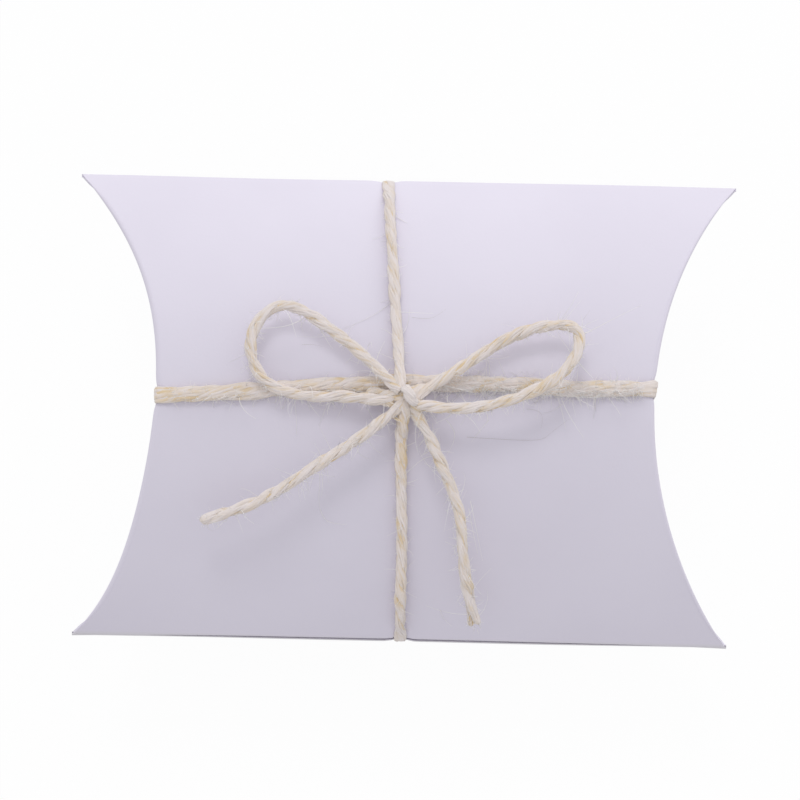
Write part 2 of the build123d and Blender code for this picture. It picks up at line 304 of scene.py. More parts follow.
seam_shade_start = 0.75
seam_shade_full = 0.15
card_white = white_card()
seam_lift = 0.42
fold_angle = math.asin(half_width / bulge_radius)
roll_angle = math.asin((half_width - 0.75 * fold_roll) / bulge_radius)
front_centre = np.array([0.0, mid_plane - arc_drop])
back_centre = np.array([0.0, mid_plane + arc_drop])
roll_reach = bulge_radius - fold_roll
far_front_roll = front_centre + roll_reach * np.array([math.sin(roll_angle), math.cos(roll_angle)])
far_back_roll = back_centre + roll_reach * np.array([math.sin(roll_angle), -math.cos(roll_angle)])
near_back_roll = far_back_roll * np.array([-1.0, 1.0])
column_share = np.sin(np.linspace(-0.5, 0.5, 141) * math.pi)
seam_open = seam_lift * (1.0 - np.abs(column_share) ** 3)
seam_angle = np.arccos((arc_drop + seam_open) / bulge_radius)
bulge_sweep = -seam_angle + (roll_angle + seam_angle) * np.linspace(0.0, 1.0, 150)[:, None]
roll_sweep = np.repeat(np.linspace(roll_angle, math.pi / 2, 8)[1:, None], len(column_share), axis=1)
bulge_points, bulge_normals = swept(bulge_sweep, bulge_radius, front_centre)
roll_points, roll_normals = swept(roll_sweep, fold_roll, far_front_roll)
front_points = np.concatenate([bulge_points, roll_points])
front_normals = np.concatenate([bulge_normals, roll_normals])
front_outside, front_inside = panel_grids(front_points, front_normals, column_share)
front_panel = card_sheet("front_panel_card", front_outside, front_inside)
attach(front_panel, "box")
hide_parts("front_panel")

# Back panel: the same sheet carried on round the far fold. It rolls up at the near edge too, where it
# turns in as the glue tab, so a narrow band of the fold shows beyond the front panel's cut edge.
back_sweeps = (
    (np.linspace(math.pi / 2, math.pi - roll_angle, 8)[:-1], fold_roll, far_back_roll),
    (np.linspace(math.pi - roll_angle, math.pi + roll_angle, 150), bulge_radius, back_centre),
    (np.linspace(math.pi + roll_angle, 1.85 * math.pi, 16)[1:], fold_roll, near_back_roll),
)
back_arcs = [
    swept(np.repeat(angles[:, None], len(column_share), axis=1), radius, centre)
    for angles, radius, centre in back_sweeps
]
back_points, back_normals = (np.concatenate([arc[part] for arc in back_arcs]) for part in (0, 1))
back_outside, back_inside = panel_grids(back_points, back_normals, column_share)
back_panel = card_sheet("back_panel_card", back_outside, back_inside)
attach(back_panel, "box")
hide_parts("back_panel")

# Glue tab: the strip of the sheet beyond the near fold, stuck flat to the inside of the front panel. It is
# out of sight in the closed box, so it keeps the plain shape of its solid, in the same card.
glue_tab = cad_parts["glue_tab"]
glue_tab.data.materials.clear()
glue_tab.data.materials.append(card_white)

# Outer flaps: each end's front panel carried on over a curved crease, with a thumb notch in its free edge.
# The crease rolls over from the panel. How far each point would turn as the flap opens, bending along that
# curve so that it ends in line with the panel, is worked out but not used.
flap_trim = 0.8
notch_radius = 6.0
flap_axis_x = box_length / 2 - half_thickness


def flap_rows(half, notch):
    """Places across a flap, closer together round the rim of a notch, where its edge stands upright."""
    rim = notch * np.sin(np.linspace(-0.5, 0.5, 41) * math.pi)
    side = np.linspace(notch, half, 36)[1:]
    return np.concatenate([-side[::-1], rim, side])


def crease_weights(x, z, axis_x, axis_z, upright):
    """How far each point of a flap turns with it, from 0 at the curved crease to 1 along the middle.

    A point's angle from the flap's wall, seen along the hinge, is 45 degrees at the crease and 0 in the
    middle, and its share falls evenly with that angle. At a right angle this mirrors the flap in the
    crease."""
    depth = upright * (z - axis_z)
    angle = np.degrees(np.arctan2(np.maximum(x - axis_x, 0.0), np.maximum(depth, 1e-6)))
    return np.clip(1.0 - angle / 45.0, 0.0, 1.0)


def outer_flap_grid(inset, side):
    """Outer flap's face, a grid of places across by places down: a quarter roll from the panel, then a
    wall that stands upright on the end's arc down to the free edge."""
    y = flap_rows(flap_half_width, notch_radius)
    turn = np.linspace(0.0, math.pi / 2, 9)
    reach = end_reach(y) + fold_drift(y, side)
    top = mid_plane + panel_rise(y)
    free = mid_plane - panel_rise(y) + flap_trim
    notch_top = mid_plane - half_thickness + flap_trim + np.sqrt(np.maximum(notch_radius**2 - y**2, 0.0))
    free = np.where(np.abs(y) < notch_radius, np.maximum(free, notch_top), free)
    roll = np.maximum(crease_round(y, side), inset)
    roll_x = (reach - roll)[:, None] + (roll - inset)[:, None] * np.sin(turn)[None, :]
    roll_depth = np.maximum(np.minimum(crease_round(y, side), 0.45 * (top - free)), inset)
    roll_z = (top - roll_depth)[:, None] + (roll_depth - inset)[:, None] * np.cos(turn)[None, :]
    down = np.linspace(0.0, 1.0, 26)[1:]
    wall_top = top - roll_depth
    wall_z = wall_top[:, None] + (free - wall_top)[:, None] * down[None, :]
    wall_x = np.repeat(reach[:, None] - inset, len(down), axis=1)
    x = np.concatenate([roll_x, wall_x], axis=1)
    z = np.concatenate([roll_z, wall_z], axis=1)
    across = np.repeat(y[:, None], x.shape[1], axis=1)
    roll_share = np.concatenate([np.linspace(0.0, 1.0, len(turn)) ** 2, np.ones(len(down))])
    weight = crease_weights(x - fold_drift(across, side), z, flap_axis_x, crest, -1.0)
    return np.stack([side * x, across, z], axis=-1), weight * roll_share[None, :]


def flap_sheet(name, face, side, order):
    """Sheet of a flap, and how far each of its points turns. Its faces are the grids that face gives at no
    inset and one card in, with their rows in the order, 1 or -1, that turns the sheet outwards."""
    outside, outside_weight = face(0.0, side)
    inside, inside_weight = face(card, side)
    sheet = card_sheet(name, outside[::order], inside[::order])
    turning = np.concatenate([outside_weight[::order].ravel(), inside_weight[::order].ravel()])
    return sheet, turning.astype(np.float32)


ends = ((1, "right"), (-1, "left"))
for side, end in ends:
    outer_flap, turning = flap_sheet(f"{end}_outer_flap_card", outer_flap_grid, side, -side)
    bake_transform(outer_flap)
    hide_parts(f"{end}_outer_flap")

# Inner flaps: each end's back panel carried on upwards, just inside the outer flap. The free edge is
# drawn in at the sides, so the flap can be pressed inwards under the front panel. How far each of its
# points would turn along its curved crease is worked out too, but not used.
nest_gap = 0.12
crease_gap = 0.1
inner_half_width = 25.0
inner_clearance = 0.3
inner_inset = card + nest_gap
inner_axis_z = mid_plane - half_thickness
inner_pivot_x = flap_axis_x - inner_inset - card
inner_pivot_z = inner_axis_z + card + crease_gap


def inner_free_edge(y):
    """Height of an inner flap's free edge, whose swing about the foot stays just under the front panel."""
    under_panel = np.sqrt((bulge_radius - card) ** 2 - y**2) - arc_drop
    head_room = mid_plane + under_panel - inner_clearance - inner_pivot_z
    reach = end_reach(y) - inner_inset - inner_pivot_x
    return inner_pivot_z + np.sqrt(head_room**2 - reach**2)


def inner_flap_grid(inset, side):
    """Inner flap's face: a wall on the end's arc from the back panel's inner face up to the free edge."""
    y = np.linspace(-inner_half_width, inner_half_width, 90)
    up = np.linspace(0.0, 1.0, 30)
    foot = mid_plane - (np.sqrt((bulge_radius - card - crease_gap) ** 2 - y**2) - arc_drop)
    z = foot[:, None] + (inner_free_edge(y) - foot)[:, None] * up[None, :]
    true_x = np.repeat(end_reach(y)[:, None] - inner_inset - inset, len(up), axis=1)
    across = np.repeat(y[:, None], len(up), axis=1)
    weight = crease_weights(true_x, z, flap_axis_x, inner_axis_z, 1.0)
    return np.stack([side * (true_x + fold_drift(across, side)), across, z], axis=-1), weight


for side, end in ends:
    inner_flap, turning = flap_sheet(f"{end}_inner_flap_card", inner_flap_grid, side, side)
    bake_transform(inner_flap)
    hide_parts(f"{end}_inner_flap")

# Long wrap: bleached jute twine of two plies in a left-hand lay, drawn round the box lengthwise. It is
# pressed flat where it turns over the end creases. Its fibres are browner towards the left end. Beside
# the knot they are browner too, partly their own tone and partly painted shade of the knot.
rng = np.random.default_rng(41)
ply_step = 0.4 * mm


def smooth_line(name, route):
    """Points along a smooth curve: a NURBS of order 3 whose control points are the route's, in metres."""
    curve = bpy.data.curves.new(name, "CURVE")
    curve.dimensions = "3D"
    curve.resolution_u = 40
    spline = curve.splines.new("NURBS")
    spline.points.add(len(route) - 1)
    spline.points.foreach_set("co", np.column_stack([route, np.ones(len(route))]).ravel())
    spline.order_u = 3
    spline.use_endpoint_u = True
    carrier = bpy.data.objects.new(name, curve)
    drawn = bpy.data.meshes.new_from_object(carrier)
    points = np.empty(3 * len(drawn.vertices))
    drawn.vertices.foreach_get("co", points)
    bpy.data.objects.remove(carrier)
    bpy.data.curves.remove(curve)
    bpy.data.meshes.remove(drawn)
    return points.reshape(-1, 3)


def along_line(line, spacing):
    """Evenly spaced points of a line, with their distance along it, both in metres."""
    step = np.linalg.norm(np.diff(line, axis=0), axis=1)
    far = np.concatenate([[0.0], np.cumsum(step)])
    keep = np.concatenate([[True], step > 1e-9])
    distance = np.linspace(0.0, far[-1], max(8, int(round(far[-1] / spacing)) + 1))
    points = np.stack([np.interp(distance, far[keep], line[keep, k]) for k in range(3)], axis=1)
    return points, distance


def slow_noise(distance, waves):
    """Smooth unevenness along the twine, about -1 to 1: sine waves of the given lengths, in metres."""
    waves = np.asarray(waves)[:, None]
    phases = rng.uniform(0.0, 2 * math.pi, waves.shape)
    total = np.sin(2 * math.pi * distance[None, :] / waves + phases).sum(axis=0)
    return total / math.sqrt(len(waves) * 2.0)


def unit(vectors):
    """The same vectors, each at length 1."""
    return vectors / np.maximum(np.linalg.norm(vectors, axis=-1, keepdims=True), 1e-12)


def frames_along(centre, distance, across):
    """Two unit vectors square to a line at each of its points: the normal, which is square to across too,
    and the crosswise one, which is the nearest to across. The line never runs along across."""
    tangent = unit(np.gradient(centre, distance, axis=0))
    normal = unit(np.cross(tangent, np.asarray(across, float)))
    return normal, np.cross(normal, tangent)


def tube_faces(tubes, rings, sides):
    """Walls and flat ends of closed tubes, by the numbers of their points: tubes by rings by sides."""
    index = np.arange(tubes * rings * sides).reshape(tubes, rings, sides)
    ahead = np.roll(index, -1, axis=2)
    walls = np.stack([index[:, :-1], ahead[:, :-1], ahead[:, 1:], index[:, 1:]], axis=-1)
    return walls.reshape(-1, 4), np.concatenate([index[:, 0, ::-1], index[:, -1]])


def lay_plies(
    line,
    diameter,
    pitch,
    across,
    fibres=17,
    spacing=ply_step,
    pressed=None,
    loose_end=(0.0, 0.0),
    open_lay=1.0,
    straw=0.0,
):
    """Two plies wound left-handed round a line, each a sleeve of fibre bundles.

    A ply's middle keeps a sixth of the diameter from the line and goes round it once a pitch. An open
    lay below 1 brings the plies closer and makes them fuller, so the groove is shallow. A ply's bundles
    lie in a ring, wider along the turn than outwards, that untwists three quarters of the lay, so they
    run nearly straight along the twine, and a core fills the ring. Pressed gives the share of its height
    over the card that the section keeps, and it spreads a little as it flattens. A loose end is the
    length over which the plies part, and by how much one ends before the other. Straw, one number or one
    for each step along, turns the fibres browner, or paler below 0. Returns points, walls, ends, and for
    each point its bundle, place along, own tone and groove depth."""
    sides = 5
    ring_size, core_thick, bundle_thick = 0.76, 0.88, 0.31
    centre, distance = along_line(line, spacing)
    normal, crosswise = frames_along(centre, distance, across)
    rings = len(distance)
    length = distance[-1]
    sway = slow_noise(distance, [0.011, 0.019])[:, None] * normal
    sway = sway + slow_noise(distance, [0.013, 0.023])[:, None] * crosswise
    centre = centre + 0.03 * diameter * sway
    parting = np.clip(1.0 - (length - distance) / max(loose_end[0], 1e-6), 0.0, 1.0)
    lay = np.cumsum(np.gradient(distance) * (1.0 - 0.7 * parting)) * 2 * math.pi / pitch
    lay = lay + 0.6 * slow_noise(distance, [0.009, 0.017, 0.031]) + rng.uniform(0.0, 2 * math.pi)
    swell = 1.0 + 0.09 * slow_noise(distance, [0.004, 0.009, 0.017])
    around = np.linspace(0.0, 2 * math.pi, sides, endpoint=False)
    tubes, tones, grooves, bundles = [], [], [], []
    for ply in (0, 1):
        fullness = 0.365 + 0.06 * (1.0 - open_lay)
        size = fullness * diameter * swell * (1.0 + 0.06 * slow_noise(distance, [0.003, 0.007, 0.012]))
        ply_start = rng.uniform(0.0, 900.0)
        ply_end = length - ply * loose_end[1]
        tip = np.clip((ply_end - distance) / (0.7 * diameter), 0.0, 1.0)
        size = size * (0.25 + 0.75 * np.sqrt(tip * (2.0 - tip)))
        turn = (lay + ply * math.pi)[:, None]
        out = np.cos(turn) * normal + np.sin(turn) * crosswise
        beside = -np.sin(turn) * normal + np.cos(turn) * crosswise
        for bundle in range(fibres + 1):
            core = bundle == fibres
            drift = 0.45 * slow_noise(distance, [0.005, 0.011, 0.023])
            place = 2 * math.pi * bundle / fibres - 0.75 * lay + drift
            ring = (0.0 if core else ring_size) * (1.0 + 0.09 * slow_noise(distance, [0.004, 0.009]))
            thick = core_thick if core else bundle_thick
            thick = thick * (1.0 + 0.18 * slow_noise(distance, [0.003, 0.008]))
            apart = 0.165 * open_lay * diameter * swell * (1.0 + 1.9 * parting * parting)
            outwards = apart + 0.92 * size * ring * np.cos(place)
            along_turn = 1.12 * size * ring * np.sin(place)
            middle = centre + outwards[:, None] * out + along_turn[:, None] * beside
            tube = middle[:, None, :] + (size * thick)[:, None, None] * (
                np.cos(around)[None, :, None] * normal[:, None, :]
                + np.sin(around)[None, :, None] * crosswise[:, None, :]
            )
            reach = ply_end - (0.0 if core else rng.uniform(0.0, 0.25) * diameter)
            stop = np.linspace(0.0, (rings - 1) * reach / length, rings)
            before = np.minimum(stop.astype(int), rings - 2)
            part = (stop - before)[:, None, None]
            tubes.append(tube[before] * (1.0 - part) + tube[before + 1] * part)
            tones.append(np.full(rings, 0.5 if core else rng.uniform(0.0, 1.0)) + straw)
            grooves.append(np.full(rings, 0.5) if core else 0.5 - 0.5 * np.cos(place))
            bundles.append(np.full(rings, ply_start + 0.3 * bundle))
    tubes = np.stack(tubes)
    if pressed is not None:
        flat = pressed(centre)[None, :, None, None]
        off_centre = tubes - centre[None, :, None, :]
        out_of_card = normal[None, :, None, :]
        along_card = crosswise[None, :, None, :]
        lift = np.sum(off_centre * out_of_card, axis=-1, keepdims=True)
        wide = np.sum(off_centre * along_card, axis=-1, keepdims=True)
        tubes = tubes + (flat - 1.0) * lift * out_of_card
        tubes = tubes + 0.2 * (1.0 - flat) * wide * along_card
    walls, ends = tube_faces(len(tubes), rings, sides)
    along = np.broadcast_to(distance[None, :], (len(tubes), rings))
    looks = [np.repeat(np.stack(list(each)).ravel(), sides) for each in (bundles, along, tones, grooves)]
    return tubes.reshape(-1, 3), walls, ends, looks


def twine_piece(name, strands):
    """One mesh from strands of plies. Each point's bundle, place along it, tone and depth in the groove
    are kept as attributes for the fibre pattern."""
    offsets = np.cumsum([0] + [len(strand[0]) for strand in strands])
    points = np.concatenate([strand[0] for strand in strands])
    points[:, 2] = np.maximum(points[:, 2], 0.0)
    walls = np.concatenate([strand[1] + offset for strand, offset in zip(strands, offsets)])
    ends = np.concatenate([strand[2] + offset for strand, offset in zip(strands, offsets)])
    piece = smooth_piece(name, points, walls.tolist() + ends.tolist(), bleached_jute)
    for column, key in enumerate(("bundle", "along", "tone", "groove")):
        values = np.concatenate([strand[3][column] for strand in strands]).astype(np.float32)
        piece.data.attributes.new(key, "FLOAT", "POINT").data.foreach_set("value", values)
    return piece


def jute(name, white, cream, straw):
    """Bleached jute: each bundle of fibres has its own tone from white to cream, with straw-coloured
    patches a few bundles wide and a few millimetres long. Deeper in the groove between the plies it turns
    to straw, partly the fibres' own tone and partly painted shade of the groove. Light spreads through the
    fibres, so the shading is evened out by turning its normal part of the way up."""
    material = bpy.data.materials.new(name)
    material.use_nodes = True
    tree = material.node_tree
    surface = tree.nodes["Principled BSDF"]
    set_inputs(surface, {
        "Roughness": 0.75,
        "IOR": 1.4,
        "Diffuse Roughness": 1.0,
        "Sheen Weight": 0.9,
        "Sheen Roughness": 0.8,
        "Sheen Tint": (1.0, 0.97, 0.93, 1.0),
    })
    facing = tree.nodes.new("ShaderNodeNewGeometry")
    raised = tree.nodes.new("ShaderNodeVectorMath")
    raised.operation = "ADD"
    raised.inputs[1].default_value = (0.0, 0.0, 0.5)
    tree.links.new(facing.outputs["Normal"], raised.inputs[0])
    even = tree.nodes.new("ShaderNodeVectorMath")
    even.operation = "NORMALIZE"
    tree.links.new(raised.outputs[0], even.inputs[0])
    tree.links.new(even.outputs[0], surface.inputs["Normal"])
    place = {}
    for key in ("bundle", "along", "tone", "groove"):
        node = tree.nodes.new("ShaderNodeAttribute")
        node.attribute_name = key
        place[key] = node.outputs["Fac"]
    spot = tree.nodes.new("ShaderNodeCombineXYZ")
    tree.links.new(place["bundle"], spot.inputs["X"])
    tree.links.new(worked_out(tree, "MULTIPLY", place["along"], 330.0), spot.inputs["Y"])
    streak = tree.nodes.new("ShaderNodeTexNoise")
    set_inputs(streak, {"Scale": 1.0, "Detail": 2.0})
    tree.links.new(spot.outputs[0], streak.inputs["Vector"])
    # Partly painted shade: bundles deeper in the groove between the plies turn towards straw.
    depth = worked_out(tree, "POWER", place["groove"], 3.0)
    total = worked_out(tree, "MULTIPLY", streak.outputs["Fac"], 1.1)
    for socket, share in ((place["tone"], 0.22), (depth, 0.35)):
        total = worked_out(tree, "ADD", total, worked_out(tree, "MULTIPLY", socket, share))
    tone = tree.nodes.new("ShaderNodeValToRGB")
    tone.color_ramp.elements[0].position = 0.53
    tone.color_ramp.elements[0].color = white
    tone.color_ramp.elements[1].position = 0.98
    tone.color_ramp.elements[1].color = straw
    middle = tone.color_ramp.elements.new(0.77)
    middle.color = cream
    tree.links.new(total, tone.inputs["Fac"])
    tree.links.new(tone.outputs["Color"], surface.inputs["Base Color"])
    return material


bleached_jute = jute(
    "bleached jute",
    white=(0.91, 0.845, 0.83, 1.0),
    cream=(0.875, 0.785, 0.71, 1.0),
    straw=(0.83, 0.655, 0.38, 1.0),
)

long_wrap_diameter = 2.2
long_wrap_pitch = 11.5
twine_clearance = 0.25
sunk = 0.68
long_wrap_stand = twine_clearance + long_wrap_diameter / 2
wrap_top = crest + long_wrap_stand - sunk
wrap_under = mid_plane - half_thickness - long_wrap_stand
laid_diameter = 2.0
pressed_stand = 0.33
left_edge_x = -(float(end_reach(left_turn_y) + fold_drift(left_turn_y, -1)) + pressed_stand)
right_edge_x = float(end_reach(right_turn_y) + fold_drift(right_turn_y, 1)) + pressed_stand
under_edge_x = flap_axis_x + pressed_stand
edge_top = crest + pressed_stand
edge_under = mid_plane - half_thickness - pressed_stand
long_wrap_route = np.array(
    [
        (3.0, 3.6, wrap_top - 0.15),
        (-4.4, 3.5, wrap_top - 0.12),
        (-13.9, 3.05, wrap_top - 0.1),
        (-22.2, 2.1, wrap_top - 0.05),
        (left_edge_x + 4.5, 1.7, wrap_top - 0.15),
        (left_edge_x + 1.6, 1.6, edge_top),
        (left_edge_x, left_turn_y, edge_top),
        (left_edge_x, 1.4, edge_top - 1.6),
        (-under_edge_x, 0.1, edge_under + 1.6),
        (-under_edge_x, 0.0, edge_under),
        (-under_edge_x + 1.6, 0.0, edge_under),
        (-under_edge_x + 4.5, 0.0, wrap_under),
        (under_edge_x - 4.5, 0.0, wrap_under),
        (under_edge_x - 1.6, 0.0, edge_under),
        (under_edge_x, 0.0, edge_under),
        (under_edge_x, 0.3, edge_under + 1.6),
        (right_edge_x, 3.5, edge_top - 1.76),
        (right_edge_x, right_turn_y, edge_top - 0.16),
        (right_edge_x - 1.6, 3.75, edge_top - 0.16),
        (right_edge_x - 4.5, 3.7, wrap_top - 0.3),
        (21.5, 3.5, wrap_top - 0.13),
        (10.5, 4.0, wrap_top - 0.17),
        (-3.0, 3.9, wrap_top - 0.15),
    ]
)


def pressed_at_creases(centre):
    """Flatness of the long wrap: 0.55 of its thickness over the panels, 0.27 over the ends of the box."""
    past = np.clip((np.abs(centre[:, 0]) / mm - 29.5) / 3.0, 0.0, 1.0)
    return 0.55 - 0.28 * past * past * (3.0 - 2.0 * past)


long_wrap_line = smooth_line("long_wrap_line", long_wrap_route * mm)
wrap_x = along_line(long_wrap_line, ply_step)[0][:, 0] / mm
# Browner beside the knot, partly the fibres' tone and partly painted shade of the knot; browner again
# towards the left end.
wrap_straw_and_shade = 0.6 * np.exp(-np.square((wrap_x + 3.5) / 4.5)) + 0.35 * (wrap_x < -20.0)
long_wrap = twine_piece(
    "long_wrap_twine",
    [
        lay_plies(
            long_wrap_line,
            laid_diameter * mm,
            long_wrap_pitch * mm,
            (0.0, 1.0, 0.0),
            pressed=pressed_at_creases,
            open_lay=0.72,
            straw=wrap_straw_and_shade,
        )
    ],
)
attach(long_wrap, "tie")
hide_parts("long_wrap")

# Girth wrap: the same twine drawn thin round the middle of the box. It passes over the long wrap beside
# the knot, hugs the round of both panels, turns over the two folds and crosses under the long wrap on
# the back.
girth_diameter = 1.5
girth_pitch = 6.0
crossing_gap = 0.1
crossing_run = 4.0
fold_stand = 0.05
fold_run = 1.5
girth_round = bulge_radius + twine_clearance + girth_diameter / 2
crossing_round = girth_round + long_wrap_diameter + crossing_gap
slope = fold_angle / 2
run_out = crossing_run * math.cos(slope)
run_up = crossing_run * math.sin(slope)
crossing_half = (girth_round - crossing_round * math.cos(slope)) / math.sin(slope)
crossing_z = mid_plane + arc_drop - crossing_round
fold_y = half_width + fold_stand / math.sin(fold_angle)


def girth_corner(x, share, step, face):
    """Control point over a panel at a share of the fold angle, where two lines that touch the twine's
    round half a step to each side meet; face is 1 for the front panel and -1 for the back."""
    angle = share * fold_angle
    radius = girth_round / math.cos(step * fold_angle / 2)
    return (x, radius * math.sin(angle), mid_plane + face * (radius * math.cos(angle) - arc_drop))


def beside_fold(x, y_side, face):
    """Control point on a panel's tangent at the fold, a short run away from the corner of the wrap."""
    y = y_side * (fold_y - fold_run * math.cos(fold_angle))
    return (x, y, mid_plane + face * fold_run * math.sin(fold_angle))


girth_route = np.array(
    [
        (0.0, 0.6, crest + 2.2),
        (-0.35, 2.4, crest + 3.0),
        (-0.6, 4.2, crest + 3.1),
        (-0.8, 6.2, crest + 1.5),
        (-1.05, 9.2, crest - 0.05),
        girth_corner(-1.75, 3 / 6, 1 / 3, 1),
        girth_corner(-2.55, 5 / 6, 1 / 3, 1),
        beside_fold(-2.85, 1, 1),
        (far_turn_x, fold_y, mid_plane),
        beside_fold(-2.88, 1, -1),
        girth_corner(-2.3, 3 / 4, 1 / 2, -1),
        (-1.6, crossing_half + run_out, crossing_z + run_up),
        (-1.45, crossing_half, crossing_z),
        (-1.25, -crossing_half, crossing_z),
        (-1.1, -crossing_half - run_out, crossing_z + run_up),
        girth_corner(-0.4, -3 / 4, 1 / 2, -1),
        beside_fold(0.1, -1, -1),
        (near_turn_x, -fold_y, mid_plane),
        beside_fold(0.15, -1, 1),
        girth_corner(0.1, -5 / 6, 1 / 3, 1),
        girth_corner(0.1, -3 / 6, 1 / 3, 1),
        girth_corner(-0.3, -1 / 6, 1 / 3, 1),
        (-0.3, -2.2, crest + 1.3),
        (-0.2, 0.4, crest + 1.6),
    ]
)
girth_line = smooth_line("girth_line", girth_route * mm)
girth_y = along_line(girth_line, ply_step)[0][:, 1] / mm
# Browner just below the knot, partly the fibres' tone and partly painted shade of the knot; paler on the
# far side of it.
girth_straw_and_shade = 0.45 * np.exp(-np.square((girth_y + 5.0) / 5.0)) - 0.3 * (girth_y > 3.0)


def pressed_at_folds(centre):
    """Flatness of the girth wrap: 0.9 of its thickness over the panels, and 0.25 over the long folds."""
    past = np.clip((np.abs(centre[:, 1]) / mm - 28.5) / 2.5, 0.0, 1.0)
    return 0.9 - 0.65 * past * past * (3.0 - 2.0 * past)


girth_wrap = twine_piece(
    "girth_wrap_twine",
    [
        lay_plies(
            girth_line,
            girth_diameter * mm,
            girth_pitch * mm,
            (1.0, 0.0, 0.0),
            fibres=13,
            pressed=pressed_at_folds,
            open_lay=0.8,
            straw=girth_straw_and_shade,
        )
    ],
)
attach(girth_wrap, "tie")
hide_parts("girth_wrap")

# Bow: two loops and two tails that spring from the knot, looser than the wraps. The loops stand off the
# panel, the left one's near side rests against the long wrap, and the stiff tails stand out over the
# panel.
bow_diameter = 1.5
bow_ply_step = 0.3
bow_path_step = 0.5
tip_trim = 0.3
bow_routes = {
    "left_loop": [
        (-0.5, 2.6, 3.6),
        (-5.8, 7.65, 2.2),
        (-9.5, 10.4, 2.4),
        (-13.6, 13.15, 2.9),
        (-16.55, 14.1, 3.1),
        (-19.35, 12.25, 3.0),
        (-20.55, 9.1, 2.8),
        (-20.2, 6.05, 2.3),
        (-18.5, 3.5, 2.1),
        (-15.6, 2.2, 1.8),
        (-11.1, 1.6, 1.6),
        (-7.6, 2.0, 2.0),
        (-1.2, 1.3, 3.3),
    ],
    "right_loop": [
        (0.9, 1.8, 3.6),
        (5.8, 4.95, 2.7),
        (9.9, 7.8, 2.2),
        (14.5, 10.6, 2.8),
        (18.75, 11.95, 3.2),
        (22.35, 12.0, 3.6),
        (23.15, 9.65, 4.1),
        (21.9, 6.9, 4.8),
        (19.8, 4.6, 4.9),
        (16.0, 2.6, 4.95),
        (11.4, 1.0, 4.8),
        (6.5, 0.4, 4.2),
        (1.0, 1.1, 3.7),
    ],
    "left_tail": [
        (0.7, 1.9, 3.2),
        (-3.9, -2.2, 3.8),
        (-7.4, -4.75, 3.6),
        (-11.6, -7.4, 3.7),
        (-16.15, -10.7, 4.0),
        (-20.7, -13.1, 4.2),
        (-26.8, -15.1, 4.1),
    ],
    "right_tail": [
        (0.9, 0.8, 3.3),
        (3.2, -2.6, 3.2),
        (4.9, -6.4, 3.2),
        (6.55, -10.0, 3.4),
        (7.7, -13.5, 3.8),
        (8.1, -17.4, 4.2),
        (8.8, -23.0, 4.7),
        (10.3, -28.8, 4.8),
    ],
}

# Each stretch's pitch of the lay, its straw, and its loose end
bow_lays = {
    "left_loop": (6.4, 0.0, (0.0, 0.0)),
    "right_loop": (6.4, 0.15, (0.0, 0.0)),
    "left_tail": (7.2, -0.15, (1.5 * mm, 0.3 * mm)),
    "right_tail": (7.2, 0.0, (8.0 * mm, 0.6 * mm)),
}
bow_lines = {}
for stretch, route in bow_routes.items():
    bow_route = np.array(route)
    bow_route[:, 2] += mid_plane + panel_rise(bow_route[:, 1])
    bow_lines[stretch] = smooth_line(f"{stretch}_line", bow_route * mm)
    pitch, straw, end_parting = bow_lays[stretch]
    strand = twine_piece(
        f"{stretch}_twine",
        [
            lay_plies(
                bow_lines[stretch],
                bow_diameter * mm,
                pitch * mm,
                (0.0, 0.0, 1.0),
                spacing=bow_ply_step * mm,
                loose_end=end_parting,
                straw=straw,
            )
        ],
    )
    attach(strand, "tie")
    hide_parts(stretch)
    centres, run = along_line(bow_lines[stretch], bow_path_step * mm)
    firm = run <= run[-1] - 0.5 * end_parting[1] - tip_trim * mm
    centres, run = centres[firm], run[firm]

# Knot: short turns of the twine drawn over each other where the two wraps cross. A bright turn lies on
# top, from the far left to the near right, and a broader one under it reaches down to the girth wrap. The
# small turns tucked under the top one are much browner, partly their own straw and partly painted shade
# of the knot. Each turn is given by its thickness, its straw and its route, with heights over the crest of
# the panel.
knot_turns = (
    (1.4, -1.2, [
        (0.2, 3.0, 2.8),
        (0.15, 3.05, 4.3),
        (0.4, 2.65, 5.1),
        (0.75, 2.05, 5.3),
        (1.1, 1.5, 5.0),
        (1.3, 1.25, 4.0),
        (1.25, 1.2, 2.6),
    ]),
    # Partly painted shade: a small turn tucked under the top one, much browner.
    (0.7, 1.0, [
        (0.7, 1.2, 2.8),
        (1.1, 0.9, 4.2),
        (1.6, 0.6, 4.3),
        (2.0, 0.3, 3.8),
        (2.3, 0.2, 2.8),
    ]),
    # Partly painted shade: another small tucked turn, browner still.
    (0.4, 1.3, [
        (-1.5, -0.7, 2.2),
        (-1.0, -1.0, 3.5),
        (-0.4, -1.3, 3.6),
        (0.1, -1.5, 2.6),
    ]),
    (1.6, 0.2, [
        (0.6, 2.6, 2.4),
        (0.4, 1.2, 3.6),
        (0.1, -0.4, 3.2),
        (-0.15, -1.7, 2.4),
        (-0.3, -3.0, 1.4),
        (-0.3, -5.2, 0.1),
    ]),
    (1.8, 0.3, [
        (-4.6, 2.3, 1.2),
        (-2.4, 2.0, 2.5),
        (0.4, 2.2, 3.3),
        (2.4, 3.2, 1.9),
    ]),
)
knot_pitch = 5.5
knot_slant = (0.7, 0.7, 0.05)
knot_strands = []
for size, straw, route in knot_turns:
    turn_line = smooth_line("knot_turn_line", (np.array(route) + (0.0, 0.0, crest)) * mm)
    knot_strands.append(lay_plies(turn_line, size * mm, knot_pitch * mm, knot_slant, straw=straw))
knot = twine_piece("knot_twine", knot_strands)
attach(knot, "tie")
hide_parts("bow_knot")

